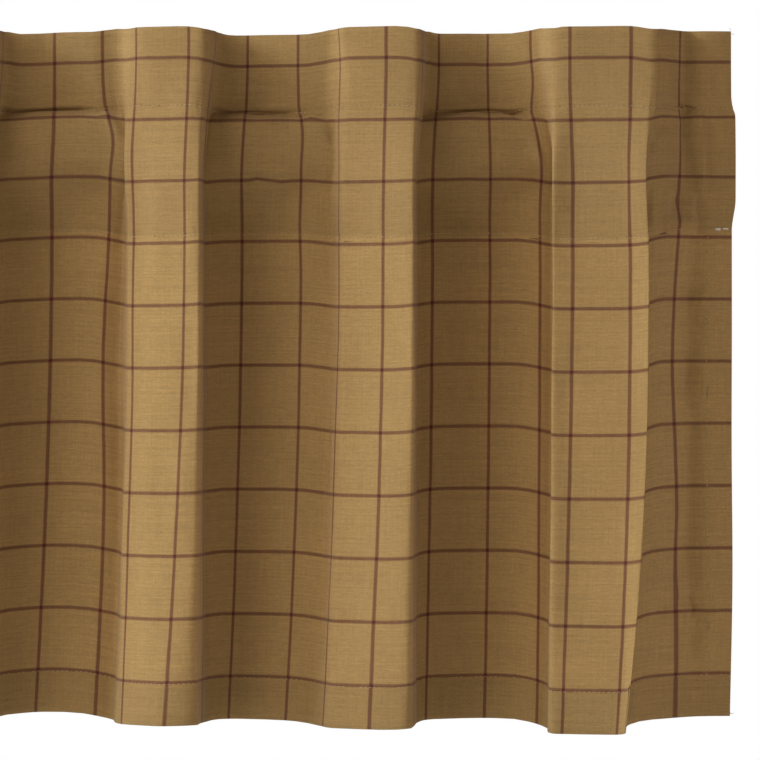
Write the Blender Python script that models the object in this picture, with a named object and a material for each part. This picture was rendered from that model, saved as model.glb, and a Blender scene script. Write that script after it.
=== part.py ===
"""A window valance of checked cotton, hung in uneven folds from its rod pocket.

Metres, +Z up, the front towards -Y. The origin is at the middle of the top edge, and the rod's line
runs along X through y = 0. The valance is one cloth: its top is turned down to the back and sewn
twice, which leaves a standing header over a tunnel for the rod, and the other edges are hemmed.
"""

from collections import namedtuple

import bmesh
import bpy
import numpy as np

MM = 0.001

# The cloth, laid flat
CHECK = 36.5 * MM             # one check of the weave, across and down
CLOTH_LEFT = -34.1            # left edge of the cloth, counted in checks
CLOTH_RIGHT = 15.9            # right edge of the cloth, counted in checks
LENGTH = 406 * MM             # top edge to hem edge
HEADER = 45.5 * MM            # top edge to the upper pocket seam
POCKET_END = 122 * MM         # top edge to the lower pocket seam
HEM = 24 * MM                 # depth of the bottom hem
SIDE_HEM = 16 * MM            # width of the hem down each side
LAYER = 1.0 * MM              # one layer of cloth

# The tunnel for the rod
ROD_FRONT = 7.6 * MM          # face of the front layer where it passes the rod
ROD_BACK = -8.0 * MM          # face of the back layer where it passes the rod
BACK_SWING = 6 * MM           # how much further back that layer swings between the folds
BACK_SOFTER = 0.45            # how much rounder that layer's folds are at the rod, in checks
OVER_ROD = 9 * MM             # cloth from the upper seam to the front of the rod
ROD_ROOM = 21 * MM            # length of cloth from there that stands clear of the rod
BELOW_ROD = 43 * MM           # length of cloth that leads from the rod back to the floors
FLOOR = -11 * MM              # where the floors between the folds hang in the skirt

# How the section changes with height
HEADING_DEPTH = 0.57          # depth of the folds in the header, as a share of the skirt's
HEADING_FLOOR = -2 * MM       # where the floors between the folds lie in the header
HEADER_DROOP = 4 * MM         # how far the header sinks over the seam between the folds
SKIRT_LIFT = 2 * MM           # how much shorter the skirt hangs between the folds
SKIRT_STARTS = 15 * MM        # the header's section turns into the skirt's from here
SKIRT_FORMED = 95 * MM        # down to here
HEM_LEAN = 1.8                # the folds lean faster the nearer they come to the hem
SOFT_HEADING = 0.40           # roundness of the folds' corners, in checks
SOFT_SKIRT = 0.10
SOFT_HEM = 0.26
SHOULDER = 14 * MM            # half the width over which a floor turns into a crown at the rod
SHOULDER_WIDER = 7 * MM       # how much earlier it turns on the side where the fold rises
HEADING_FALL = 5.0            # width of a steep side in the header, in millimetres

# Each fold has a rise from its foot to its brow, a crown, and a fall from its second brow to its
# second foot. The first four columns are places along the cloth, in checks, and the next four are
# how far each stands in front of the rod's line. The rest place the middles of the rise and the fall
# left of the valance's right-hand end, and give their widths. The drops are at the hem, that of the
# floor being for the floor at the fold's right, and the raise is how much higher the floor at its
# left hangs all the way down. All but the first four are in millimetres.
Fold = namedtuple("Fold", [
    "foot_in", "brow_in", "brow_out", "foot_out",
    "d_foot_in", "d_brow_in", "d_brow_out", "d_foot_out",
    "in_heading", "in_skirt", "in_hem", "out_heading", "out_skirt", "out_hem",
    "rise_width", "fall_width", "crown_drop", "floor_drop", "floor_raise",
])
RIGHT_FOLDS = [
    Fold(1.25, 1.87, 3.38, 4.33, -7, 13, 35, -5,
         356.8, 353.6, 361.6, 307.5, 308.6, 312.4, 3.0, 1.6, 0.0, 1.3, 2.2),
    Fold(6.62, 7.27, 8.53, 9.75, -8, 18, 38, -4,
         234.0, 229.5, 239.5, 180.6, 184.4, 188.0, 7.0, 1.6, 2.0, 1.8, 0.5),
    Fold(12.22, 12.65, 14.26, 14.50, 4, 22, 37, 32,
         110.5, 104.8, 106.6, 47.5, 49.0, 62.4, 5.0, 4.0, 5.6, -0.2, 1.4),
]

# Between its two sides each fold passes through these lines, and so does the floor at its left: the
# fold's number, the place along the cloth, how far in front of the rod's line, and how far left of
# the valance's right-hand end at the heading, the skirt and the hem.
Line = namedtuple("Line", ["fold", "cloth", "depth", "heading", "skirt", "hem"])
LINES = [
    Line(0, 0.0, -10, 394.6, 397.8, 407.8),
    Line(0, 1.0, -4, 369.5, 363.3, 372.7),
    Line(0, 2.5, 27, 335.0, 336.0, 345.5),
    Line(0, 3.0, 33, 315.0, 317.9, 331.2),
    Line(1, 5.0, -12, 282.8, 286.3, 295.1),
    Line(1, 6.0, -5, 253.2, 251.1, 259.8),
    Line(1, 8.0, 31, 201.2, 203.2, 212.5),
    Line(2, 10.0, -6, 170.9, 174.1, 179.1),
    Line(2, 11.0, -14, 141.3, 140.1, 143.2),
    Line(2, 12.0, 3, 117.8, 111.3, 112.8),
    Line(2, 13.0, 27, 94.1, 92.7, 99.3),
    Line(2, 14.0, 32.5, 59.6, 60.1, 67.7),
]

# The folds further left follow the first two of those, moved along and made flatter or straighter.
Repeat = namedtuple("Repeat", ["like", "cloth_shift", "shift", "depth", "lean", "floor_drop"])
LEFT_FOLDS = [
    Repeat(1, -38.10, 848.0, 0.84, 0.0, -1.0),
    Repeat(0, -27.20, 603.0, 1.00, 0.2, 0.5),
    Repeat(1, -26.95, 604.0, 0.92, 0.3, -0.5),
    Repeat(0, -16.10, 360.0, 0.88, 0.5, -1.5),
    Repeat(1, -15.95, 363.0, 1.00, 0.7, -3.0),
    Repeat(0, -5.00, 118.5, 0.82, 0.9, 0.0),
]
AS_DRAWN = [Repeat(0, 0, 0, 1, 1, 0), Repeat(1, 0, 0, 1, 1, 0), Repeat(2, 0, 0, 1, 1, 0)]

# The flat panels beyond the last folds: place along the cloth, millimetres in front of the rod's
# line, and millimetres left of the right-hand end at the heading, the skirt and the hem.
Panel = namedtuple("Panel", ["cloth", "depth", "heading", "skirt", "hem"])
LEFT_PANEL = [Panel(CLOTH_LEFT, 7.8, 1160.6, 1159.1, 1158.8),
              Panel(-33.3, 8.5, 1133.0, 1133.0, 1133.0), Panel(-32.2, 0, 1101.0, 1101.0, 1101.0)]
RIGHT_PANEL = [Panel(14.62, 31, 40.0, 40.5, 50.0), Panel(15.0, 16, 28.5, 28.5, 32.0),
               Panel(15.4, 11.5, 15.0, 15.5, 17.0), Panel(CLOTH_RIGHT, 7.8, -2.6, -1.1, -0.8)]
END_RAISE = 2.0               # how much higher the end panel hangs, in millimetres
MIDDLE = (LEFT_PANEL[0].heading + RIGHT_PANEL[-1].heading) / 2 * MM   # of the top edge
POCKET_FLARE = 2.2 * MM       # how far the tunnel's open ends stand out past the skirt


def repeated(row):
    """A fold and its lines further left, worked out from those that they follow."""
    fold = RIGHT_FOLDS[row.like]
    moved = {name: getattr(fold, name) + row.cloth_shift for name in Fold._fields[:4]}
    for name in Fold._fields[4:8]:
        moved[name] = getattr(fold, name) * row.depth
    for edge in ("in", "out"):
        skirt = getattr(fold, edge + "_skirt")
        for level in ("heading", "skirt", "hem"):
            away = getattr(fold, f"{edge}_{level}") - skirt
            moved[f"{edge}_{level}"] = skirt + row.shift + away * row.lean
    lines = []
    for line in LINES:
        if line.fold == row.like:
            across = [line.skirt + row.shift + (level - line.skirt) * row.lean
                      for level in (line.heading, line.skirt, line.hem)]
            lines.append(Line(line.fold, line.cloth + row.cloth_shift, line.depth * row.depth,
                              *across))
    if row in AS_DRAWN:
        return fold, lines
    return fold._replace(floor_drop=row.floor_drop, crown_drop=row.floor_drop / 2, **moved), lines


HUNG = [repeated(row) for row in LEFT_FOLDS + AS_DRAWN]
FOLDS = [fold for fold, lines in HUNG]


def fold_stations():
    """The corners of the section, left to right, as an array with a row for each corner.

    Columns: cloth, across at the heading, skirt and hem, depth, drop, raise.
    """
    rows = [(p.cloth, p.heading, p.skirt, p.hem, p.depth, 0.0, 0.0) for p in LEFT_PANEL]
    floor_drop = 0.0
    for fold, lines in HUNG:
        edge_in = np.array([fold.in_heading, fold.in_skirt, fold.in_hem])
        edge_out = np.array([fold.out_heading, fold.out_skirt, fold.out_hem])
        half_in = np.array([HEADING_FALL, fold.rise_width, fold.rise_width]) / 2
        half_out = np.array([HEADING_FALL, fold.fall_width, fold.fall_width]) / 2
        crown = (fold.crown_drop, 0.0)
        rows.append((fold.foot_in, *(edge_in + half_in), fold.d_foot_in, *crown))
        rows.append((fold.brow_in, *(edge_in - half_in), fold.d_brow_in, *crown))
        rows.append((fold.brow_out, *(edge_out + half_out), fold.d_brow_out, *crown))
        rows.append((fold.foot_out, *(edge_out - half_out), fold.d_foot_out, fold.floor_drop, 0.0))
        for line in lines:
            ends = crown if line.cloth > fold.foot_in else (floor_drop, fold.floor_raise)
            rows.append((line.cloth, line.heading, line.skirt, line.hem, line.depth, *ends))
        floor_drop = fold.floor_drop
    rows += [(p.cloth, p.heading, p.skirt, p.hem, p.depth, floor_drop, END_RAISE)
             for p in RIGHT_PANEL]
    stations = np.array(sorted(rows))
    stations[:, 1:] *= MM
    return stations


STATIONS = fold_stations()


def ramp(value, start, end):
    """0 before start, 1 after end and a smooth rise between."""
    t = np.clip((value - start) / (end - start), 0.0, 1.0)
    return t * t * (3 - 2 * t)


def eased(cloth, column, softness):
    """A column of STATIONS at a place along the cloth, its corners rounded over softness checks."""
    steps = np.linspace(-1.0, 1.0, 9)
    weights = 1.0 - 0.9 * np.abs(steps)
    places = np.clip(cloth + steps * softness, CLOTH_LEFT, CLOTH_RIGHT)
    values = np.interp(places, STATIONS[:, 0], STATIONS[:, column])
    return float(np.dot(values, weights) / weights.sum())


def between_folds(cloth):
    """1 on the floors between the folds, 0 on the crowns."""
    across = eased(cloth, 2, SOFT_SKIRT)
    floor = 1.0
    for fold in FOLDS:
        inside = ramp(across, fold.out_skirt * MM - SHOULDER, fold.out_skirt * MM + SHOULDER)
        rise = fold.in_skirt * MM + SHOULDER_WIDER
        inside *= 1 - ramp(across, rise - SHOULDER, rise + SHOULDER)
        floor -= inside
    return float(floor)


def rod_face(down):
    """How far in front of the rod's line the rod holds the front layer."""
    if down < HEADER:
        return FLOOR
    front = HEADER + OVER_ROD
    if down < front:
        return HEADING_FLOOR + (ROD_FRONT - HEADING_FLOOR) * ramp(down, HEADER, front)
    recede = ramp(down, front + ROD_ROOM, front + ROD_ROOM + BELOW_ROD)
    return ROD_FRONT + (FLOOR - ROD_FRONT) * recede


def hang(cloth, down, eased_more=0.0):
    """A point of the front face: cloth in checks along the valance, down in metres of cloth."""
    skirt = float(ramp(down, SKIRT_STARTS, SKIRT_FORMED))
    hem = max(0.0, (down - POCKET_END) / (LENGTH - POCKET_END)) ** HEM_LEAN
    softness = SOFT_HEADING + (SOFT_SKIRT - SOFT_HEADING) * skirt + (SOFT_HEM - SOFT_SKIRT) * hem
    softness += eased_more
    heading_x, skirt_x, hem_x = (eased(cloth, column, softness) for column in (1, 2, 3))
    upper_x = heading_x + (skirt_x - heading_x) * skirt
    flare = ramp(down, HEADER - 8 * MM, HEADER + OVER_ROD)
    flare *= 1 - ramp(down, 0.85 * POCKET_END, POCKET_END)
    flare *= ramp(cloth, CLOTH_RIGHT - 0.5, CLOTH_RIGHT) - ramp(cloth, CLOTH_LEFT + 0.5, CLOTH_LEFT)
    x = MIDDLE - (upper_x + (hem_x - upper_x) * hem) + POCKET_FLARE * flare

    depth = eased(cloth, 4, softness)
    in_header = HEADING_FLOOR + (depth - FLOOR) * HEADING_DEPTH
    depth = in_header + (depth - in_header) * skirt
    rod = rod_face(down)
    depth = (depth + rod + np.hypot(depth - rod, 1.5 * MM)) / 2

    floor = between_folds(cloth)
    lift = -HEADER_DROOP * (1 - ramp(down, HEADER - 2 * MM, HEADER + OVER_ROD))
    lift += SKIRT_LIFT * ramp(down, HEADER + OVER_ROD, POCKET_END)
    drop = eased(cloth, 5, 1.2) * down / LENGTH - eased(cloth, 6, 0.6)
    return np.array([x, -depth, -down + lift * floor - drop])


def back_of_pocket(cloth, down):
    """A point on the pocket's back layer, which passes behind the rod: its face towards the rod."""
    top = HEADER + OVER_ROD
    share = ramp(down, HEADER, top) * (1 - ramp(down, top + ROD_ROOM / 2, POCKET_END))
    point = hang(cloth, down, BACK_SOFTER * share)
    past_rod = -ROD_BACK - LAYER + BACK_SWING * between_folds(cloth)
    point[1] += (max(past_rod, point[1]) - point[1]) * share
    return point


def behind(surface, cloth, down, distance, level=False):
    """The point at a distance behind a surface, square to it, or square to its level section."""
    step_cloth, step_down = 0.02, 0.5 * MM
    along = surface(cloth + step_cloth, down) - surface(cloth - step_cloth, down)
    up = surface(cloth, down - step_down) - surface(cloth, down + step_down)
    if level:
        along[2] = 0.0
        up = np.array([0.0, 0.0, 1.0])
    normal = np.cross(up, along)
    return surface(cloth, down) + normal / np.linalg.norm(normal) * distance


def seam_middle(cloth, down):
    """The point between the layers where a pocket seam joins them, a little inside the pocket."""
    into_pocket = -1 if down < POCKET_END else 1
    return behind(hang, cloth, down, LAYER, level=True) + [0.0, 0.0, into_pocket * 0.8 * LAYER]


def seam_back(cloth, down):
    return behind(hang, cloth, down, 2 * LAYER, level=True)


def section_rows():
    """Lengths of cloth down to each row of points: header, pocket and skirt."""
    rod_top = HEADER + OVER_ROD
    header = [0.0, HEADER * 0.55]
    pocket = [HEADER + OVER_ROD * 0.5, rod_top, rod_top + ROD_ROOM * 0.5, rod_top + ROD_ROOM,
              POCKET_END * 0.72, POCKET_END * 0.85]
    skirt = [POCKET_END + (LENGTH - HEM - POCKET_END) * share for share in (0.24, 0.5, 0.76, 1.0)]
    return header, pocket, skirt + [LENGTH]


def section_places():
    """Every point of the valance's section, as (surface, down, distance behind it)."""
    header, pocket, skirt = section_rows()
    places = {}
    for number, down in enumerate(header):
        places["header", "front", number] = (hang, down, 0.0)
        places["header", "back", number] = (hang, down, 2 * LAYER)
    for number, down in enumerate([HEADER, POCKET_END]):
        places["seam", "front", number] = (hang, down, 0.0)
        places["seam", "middle", number] = (seam_middle, down, 0.0)
        places["seam", "back", number] = (seam_back, down, 0.0)
    for number, down in enumerate(pocket):
        places["pocket", "front", number] = (hang, down, 0.0)
        places["pocket", "front inside", number] = (hang, down, LAYER)
        places["pocket", "back inside", number] = (back_of_pocket, down, 1.2 * LAYER)
        places["pocket", "back", number] = (back_of_pocket, down, 2.2 * LAYER)
    for number, down in enumerate(skirt):
        hemmed = 2 if down > LENGTH - HEM - LAYER else 1
        places["skirt", "front", number] = (hang, down, 0.0)
        places["skirt", "back", number] = (hang, down, hemmed * LAYER)
    return places


def section_faces():
    """The section's faces, each a list of the names of its points."""
    header, pocket, skirt = (range(len(rows)) for rows in section_rows())
    faces = []
    for number in header[:-1]:
        faces.append([("header", "front", number), ("header", "front", number + 1),
                      ("header", "back", number + 1), ("header", "back", number)])
    faces.append([("header", "front", header[-1]), ("seam", "front", 0), ("seam", "middle", 0),
                  ("seam", "back", 0), ("header", "back", header[-1])])
    for outer, inner in (("front", "front inside"), ("back", "back inside")):
        outer_row = [("seam", outer, 0)] + [("pocket", outer, n) for n in pocket] + [("seam", outer, 1)]
        inner_row = [("seam", "middle", 0)] + [("pocket", inner, n) for n in pocket]
        inner_row.append(("seam", "middle", 1))
        for above in range(len(outer_row) - 1):
            faces.append([outer_row[above], outer_row[above + 1], inner_row[above + 1],
                          inner_row[above]])
    faces.append([("seam", "front", 1), ("skirt", "front", 0), ("skirt", "back", 0),
                  ("seam", "back", 1), ("seam", "middle", 1)])
    for number in skirt[:-1]:
        faces.append([("skirt", "front", number), ("skirt", "front", number + 1),
                      ("skirt", "back", number + 1), ("skirt", "back", number)])
    return faces


def column_cloth():
    """Where along the cloth the section is placed: close together at the corners of the folds."""
    columns = [CLOTH_LEFT, CLOTH_LEFT + SIDE_HEM / CHECK, -33.0, -32.2]
    for number, (fold, lines) in enumerate(HUNG):
        columns += [fold.foot_in - 0.12, fold.foot_in + 0.08, fold.brow_in - 0.08,
                    fold.brow_in + 0.14, fold.brow_out, (fold.brow_out * 3 + fold.foot_out) / 4,
                    (fold.brow_out + fold.foot_out * 3) / 4, fold.foot_out + 0.1]
        columns += [line.cloth for line in lines]
    columns += [14.62, 14.8, 15.0, 15.2, CLOTH_RIGHT - SIDE_HEM / CHECK, CLOTH_RIGHT]
    return sorted(columns)


def fabric():
    """Golden brown cotton."""
    material = bpy.data.materials.new("golden_brown_cotton")
    material.use_nodes = True
    shader = material.node_tree.nodes["Principled BSDF"]
    shader.inputs["Base Color"].default_value = (0.36, 0.24, 0.09, 1.0)
    shader.inputs["Roughness"].default_value = 0.9
    shader.inputs["Metallic"].default_value = 0.0
    return material


def valance(collection):
    """The section at the left edge, extruded along the cloth and hung in its folds column by column."""
    places = section_places()
    names = list(places)
    mesh_bm = bmesh.new()
    place_layer = mesh_bm.verts.layers.int.new("place")

    def hang_vertex(vertex, cloth):
        surface, down, distance = places[names[vertex[place_layer]]]
        vertex.co = behind(surface, cloth, down, distance) if distance else surface(cloth, down)

    columns = column_cloth()
    corners = {}
    for number, name in enumerate(names):
        vertex = mesh_bm.verts.new()
        vertex[place_layer] = number
        hang_vertex(vertex, columns[0])
        corners[name] = vertex
    region = [mesh_bm.faces.new([corners[name] for name in face]) for face in section_faces()]
    for number, cloth in enumerate(columns[1:]):
        grown = bmesh.ops.extrude_face_region(mesh_bm, geom=region, use_keep_orig=True)["geom"]
        if number > 0:
            bmesh.ops.delete(mesh_bm, geom=region, context="FACES")
        region = [item for item in grown if isinstance(item, bmesh.types.BMFace)]
        for vertex in (item for item in grown if isinstance(item, bmesh.types.BMVert)):
            hang_vertex(vertex, cloth)
    bmesh.ops.triangulate(mesh_bm, faces=mesh_bm.faces)
    bmesh.ops.recalc_face_normals(mesh_bm, faces=mesh_bm.faces)

    mesh = bpy.data.meshes.new("valance")
    mesh_bm.to_mesh(mesh)
    mesh_bm.free()
    mesh.shade_smooth()
    mesh.materials.append(fabric())
    cloth_object = bpy.data.objects.new("valance", mesh)
    collection.objects.link(cloth_object)
    return cloth_object


def build():
    for old in list(bpy.data.objects):
        bpy.data.objects.remove(old, do_unlink=True)
    collection = bpy.data.collections.new("window_valance")
    bpy.context.scene.collection.children.link(collection)
    valance(collection)


build()
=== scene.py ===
"""A window valance of checked cotton: the cut cloth hung in its folds, its sewing, and the studio."""

from collections import namedtuple
import math

import bmesh
import bpy
import numpy as np
from mathutils import Matrix, Vector


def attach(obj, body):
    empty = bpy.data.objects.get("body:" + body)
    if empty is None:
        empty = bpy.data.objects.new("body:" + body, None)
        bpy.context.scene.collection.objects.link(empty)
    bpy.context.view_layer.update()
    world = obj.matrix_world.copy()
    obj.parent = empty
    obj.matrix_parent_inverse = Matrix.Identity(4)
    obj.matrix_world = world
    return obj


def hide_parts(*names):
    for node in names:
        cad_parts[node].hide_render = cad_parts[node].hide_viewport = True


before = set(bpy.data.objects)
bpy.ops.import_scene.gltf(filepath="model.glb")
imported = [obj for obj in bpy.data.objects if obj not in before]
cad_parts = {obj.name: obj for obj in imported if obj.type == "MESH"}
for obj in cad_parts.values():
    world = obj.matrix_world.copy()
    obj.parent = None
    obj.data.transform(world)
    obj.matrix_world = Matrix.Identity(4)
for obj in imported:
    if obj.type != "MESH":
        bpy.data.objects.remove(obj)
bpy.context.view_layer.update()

# ---------------------------------------------------------------------------------------------------
# The cloth
#
# One length of plain-woven cotton, golden brown with a dark red windowpane check. Its sides, top and
# foot are turned to the back and sewn. The top is sewn twice, so that a header stands over a tunnel
# for the rod, and the cloth is gathered along the rod into uneven soft folds.

MM = 0.001
CHECK = 36.5 * MM             # one check of the weave, across and down
CLOTH_LEFT = -34.1            # left edge of the cloth, counted in checks
CLOTH_RIGHT = 15.9            # right edge of the cloth, counted in checks
LENGTH = 406 * MM             # top edge to hem edge
HEADER = 45.5 * MM            # top edge to the upper pocket seam
POCKET_END = 122 * MM         # top edge to the lower pocket seam
HEM = 24 * MM                 # depth of the bottom hem
SIDE_HEM = 16 * MM            # width of the hem down each side
LAYER = 0.75 * MM             # from one layer of cloth to the next
BEYOND_SEAM = 3 * MM          # how far a turned layer goes on past its seam
PRESSED_EDGE = 1.5 * MM       # width of the edge that is pressed down onto the layer in front
PRESSED = 0.8                 # how far it is pressed down, as a share

# The tunnel for the rod
ROD_FRONT = 7.6 * MM          # face of the front layer where it passes the rod
ROD_BACK = -8.0 * MM          # face of the back layer where it passes the rod
BACK_SWING = 6 * MM           # how much further back that layer swings between the folds
BACK_SOFTER = 0.45            # how much rounder that layer's folds are at the rod, in checks
OVER_ROD = 9 * MM             # cloth from the upper seam to the front of the rod
ROD_ROOM = 21 * MM            # length of cloth from there that stands clear of the rod
BELOW_ROD = 43 * MM           # length of cloth that leads from the rod back to the floors
FLOOR = -11 * MM              # where the floors between the folds hang in the skirt

# How the section changes with height
HEADING_DEPTH = 0.57          # depth of the folds in the header, as a share of the skirt's
HEADING_FLOOR = -2 * MM       # where the floors between the folds lie in the header
HEADER_DROOP = 4 * MM         # how far the header sinks over the seam between the folds
SKIRT_LIFT = 2 * MM           # how much shorter the skirt hangs between the folds
SKIRT_STARTS = 15 * MM        # the header's section turns into the skirt's from here
SKIRT_FORMED = 95 * MM        # down to here
HEM_LEAN = 1.8                # the folds lean faster the nearer they come to the hem
SOFT_HEADING = 0.40           # roundness of the folds' corners, in checks
SOFT_SKIRT = 0.08
SOFT_HEM = 0.26
SHOULDER = 14 * MM            # half the width over which a floor turns into a crown at the rod
SHOULDER_WIDER = 7 * MM       # how much earlier it turns on the side where the fold rises
HEADING_FALL = 5.0            # width of a steep side in the header, in millimetres
HEM_WIDER = 2.0               # how many times wider a fall is at the hem than in the skirt
FALL_SHARPER = 0.62           # how much less round the falls are in the header than the rises
FALL_REACH = 0.6              # how far along the cloth from a fall that holds, in checks
LIP = 14.37                   # where the last fold laps over the end panel, in checks
LIP_REACH = 0.4               # how far along the cloth the lap keeps its sharp edge, in checks
LAST_RISE = 12.65             # where the last fold rises, in checks
RISE_REACH = 0.35             # how far along the cloth that rise keeps its sharper brow, in checks
LIP_SHARPER = 0.7             # how much less round the lap's edge is in the skirt
RISE_SHARPER = 0.5            # how much less round that brow is in the skirt
SOFT_DROP = 0.7               # roundness of the steps between the drops, in checks
SOFT_RAISE = 0.6              # and between the raises
LIP_STEP = 0.85               # how much less round those steps are at the lap
ROD_TOUCH = 1.5 * MM          # how softly the cloth comes to lie on the rod

# Each fold has a rise from its foot to its brow, a crown, and a fall from its second brow to its
# second foot. The first four columns are places along the cloth, in checks, and the next four are
# how far each stands in front of the rod's line. The rest place the middles of the rise and the fall
# left of the valance's right-hand end, and give their widths, which are below zero where the crown
# leans out over the floor. The drops are at the hem, that of the floor being for the floor at the
# fold's right, and the raise is how much higher the floor at its left hangs all the way down. All
# but the first four are in millimetres.
Fold = namedtuple("Fold", [
    "foot_in", "brow_in", "brow_out", "foot_out",
    "d_foot_in", "d_brow_in", "d_brow_out", "d_foot_out",
    "in_heading", "in_skirt", "in_hem", "out_heading", "out_skirt", "out_hem",
    "rise_width", "fall_width", "crown_drop", "floor_drop", "floor_raise",
])
RIGHT_FOLDS = [
    Fold(1.25, 1.87, 3.38, 4.33, -4.5, 13, 36.5, -5,
         353.6, 353.4, 360.2, 304.5, 308.2, 309.4, 3.0, 2.2, 0.0, 1.3, 2.2),
    Fold(6.62, 7.27, 8.53, 9.75, 3, 18, 39.5, -3,
         231.0, 229.5, 239.5, 179.6, 184.2, 185.2, 7.0, 2.2, 2.0, 1.8, 0.5),
    Fold(12.22, 12.75, 14.26, 14.48, 0.5, 26.3, 40.5, 38.2,
         107.0, 104.2, 107.2, 45.2, 49.3, 63.4, -1.2, 0.4, 4.9, -0.2, 1.4),
]

# Between its two sides each fold passes through these lines, and so does the floor at its left: the
# fold's number, the place along the cloth, how far in front of the rod's line, and how far left of
# the valance's right-hand end at the heading, the skirt and the hem.
Line = namedtuple("Line", ["fold", "cloth", "depth", "heading", "skirt", "hem"])
LINES = [
    Line(0, 0.0, -10, 394.6, 397.8, 407.8),
    Line(0, 1.0, -1.5, 369.5, 363.3, 372.7),
    Line(0, 2.5, 25.5, 335.0, 336.0, 345.5),
    Line(0, 3.0, 33.5, 315.0, 317.9, 331.2),
    Line(1, 5.0, -13, 282.8, 286.3, 295.1),
    Line(1, 6.0, -0.5, 253.2, 251.1, 259.8),
    Line(1, 8.0, 30.5, 201.2, 203.2, 212.5),
    Line(2, 10.0, -3, 170.9, 174.1, 179.1),
    Line(2, 11.0, -13.5, 141.3, 140.1, 143.2),
    Line(2, 12.0, 1, 117.8, 111.3, 112.8),
    Line(2, 13.0, 26.5, 94.1, 92.7, 99.3),
    Line(2, 14.0, 35, 59.6, 60.1, 67.7),
]

# The folds further left follow the first two of those, moved along and made flatter or straighter.
Repeat = namedtuple("Repeat", ["like", "cloth_shift", "shift", "depth", "lean", "floor_drop"])
LEFT_FOLDS = [
    Repeat(1, -38.10, 848.0, 0.84, 0.0, -1.0),
    Repeat(0, -27.20, 603.0, 1.00, 0.2, 0.5),
    Repeat(1, -26.95, 604.0, 0.92, 0.3, -0.5),
    Repeat(0, -16.10, 360.0, 0.88, 0.5, -1.5),
    Repeat(1, -15.95, 363.0, 1.00, 0.7, -3.0),
    Repeat(0, -5.00, 123.0, 0.82, 0.9, -1.4),
]
AS_DRAWN = [Repeat(0, 0, 0, 1, 1, 0), Repeat(1, 0, 0, 1, 1, 0), Repeat(2, 0, 0, 1, 1, 0)]

# The flat panels beyond the last folds: place along the cloth, millimetres in front of the rod's
# line, and millimetres left of the right-hand end at the heading, the skirt and the hem.
Panel = namedtuple("Panel", ["cloth", "depth", "heading", "skirt", "hem"])
LEFT_PANEL = [Panel(CLOTH_LEFT, 7.8, 1160.6, 1159.1, 1158.8),
              Panel(-33.3, 8.5, 1133.0, 1133.0, 1133.0), Panel(-32.2, 0, 1101.0, 1101.0, 1101.0)]
RIGHT_PANEL = [Panel(14.64, 33.5, 39.5, 42.5, 54.0), Panel(14.76, 29.5, 36.0, 38.8, 48.3),
               Panel(15.0, 20.5, 28.5, 31.3, 32.0), Panel(15.2, 12.5, 22.0, 23.2, 24.0),
               Panel(15.42, 9.8, 14.5, 15.0, 16.5), Panel(CLOTH_RIGHT, 7.8, -2.6, -1.1, -0.8)]
END_RAISE = 2.0               # how much higher the end panel hangs, in millimetres
MIDDLE = (LEFT_PANEL[0].heading + RIGHT_PANEL[-1].heading) / 2 * MM   # of the top edge
POCKET_FLARE = 2.2 * MM       # how far the tunnel's open ends stand out past the skirt
FLARE_ABOVE = 8 * MM          # how far above the upper seam that starts
FLARE_HOLDS = 0.85            # how far down the pocket it holds, as a share of the pocket's end
FLARE_REACH = 0.5             # how far in along the cloth it reaches, in checks


def repeated(row):
    """A fold and its lines further left, worked out from those that they follow."""
    fold = RIGHT_FOLDS[row.like]
    moved = {name: getattr(fold, name) + row.cloth_shift for name in Fold._fields[:4]}
    for name in Fold._fields[4:8]:
        moved[name] = getattr(fold, name) * row.depth
    for edge in ("in", "out"):
        skirt = getattr(fold, edge + "_skirt")
        for level in ("heading", "skirt", "hem"):
            away = getattr(fold, f"{edge}_{level}") - skirt
            moved[f"{edge}_{level}"] = skirt + row.shift + away * row.lean
    lines = []
    for line in LINES:
        if line.fold == row.like:
            across = [line.skirt + row.shift + (level - line.skirt) * row.lean
                      for level in (line.heading, line.skirt, line.hem)]
            lines.append(Line(line.fold, line.cloth + row.cloth_shift, line.depth * row.depth,
                              *across))
    if row in AS_DRAWN:
        return fold, lines
    return fold._replace(floor_drop=row.floor_drop, crown_drop=row.floor_drop / 2, **moved), lines


HUNG = [repeated(row) for row in LEFT_FOLDS + AS_DRAWN]
FOLDS = [fold for fold, lines in HUNG]


def fold_stations():
    """The corners of the section, left to right, as an array with a row for each corner.

    Columns: cloth, across at the heading, skirt and hem, depth, drop, raise.
    """
    rows = [(p.cloth, p.heading, p.skirt, p.hem, p.depth, 0.0, 0.0) for p in LEFT_PANEL]
    floor_drop = 0.0
    for fold, lines in HUNG:
        edge_in = np.array([fold.in_heading, fold.in_skirt, fold.in_hem])
        edge_out = np.array([fold.out_heading, fold.out_skirt, fold.out_hem])
        half_in = np.array([HEADING_FALL, fold.rise_width, fold.rise_width]) / 2
        half_out = np.array([HEADING_FALL, fold.fall_width, fold.fall_width * HEM_WIDER]) / 2
        crown = (fold.crown_drop, 0.0)
        rows.append((fold.foot_in, *(edge_in + half_in), fold.d_foot_in, *crown))
        rows.append((fold.brow_in, *(edge_in - half_in), fold.d_brow_in, *crown))
        rows.append((fold.brow_out, *(edge_out + half_out), fold.d_brow_out, *crown))
        rows.append((fold.foot_out, *(edge_out - half_out), fold.d_foot_out, fold.floor_drop, 0.0))
        for line in lines:
            ends = crown if line.cloth > fold.foot_in else (floor_drop, fold.floor_raise)
            rows.append((line.cloth, line.heading, line.skirt, line.hem, line.depth, *ends))
        floor_drop = fold.floor_drop
    rows += [(p.cloth, p.heading, p.skirt, p.hem, p.depth, floor_drop, END_RAISE)
             for p in RIGHT_PANEL]
    stations = np.array(sorted(rows))
    stations[:, 1:] *= MM
    return stations


STATIONS = fold_stations()


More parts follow.
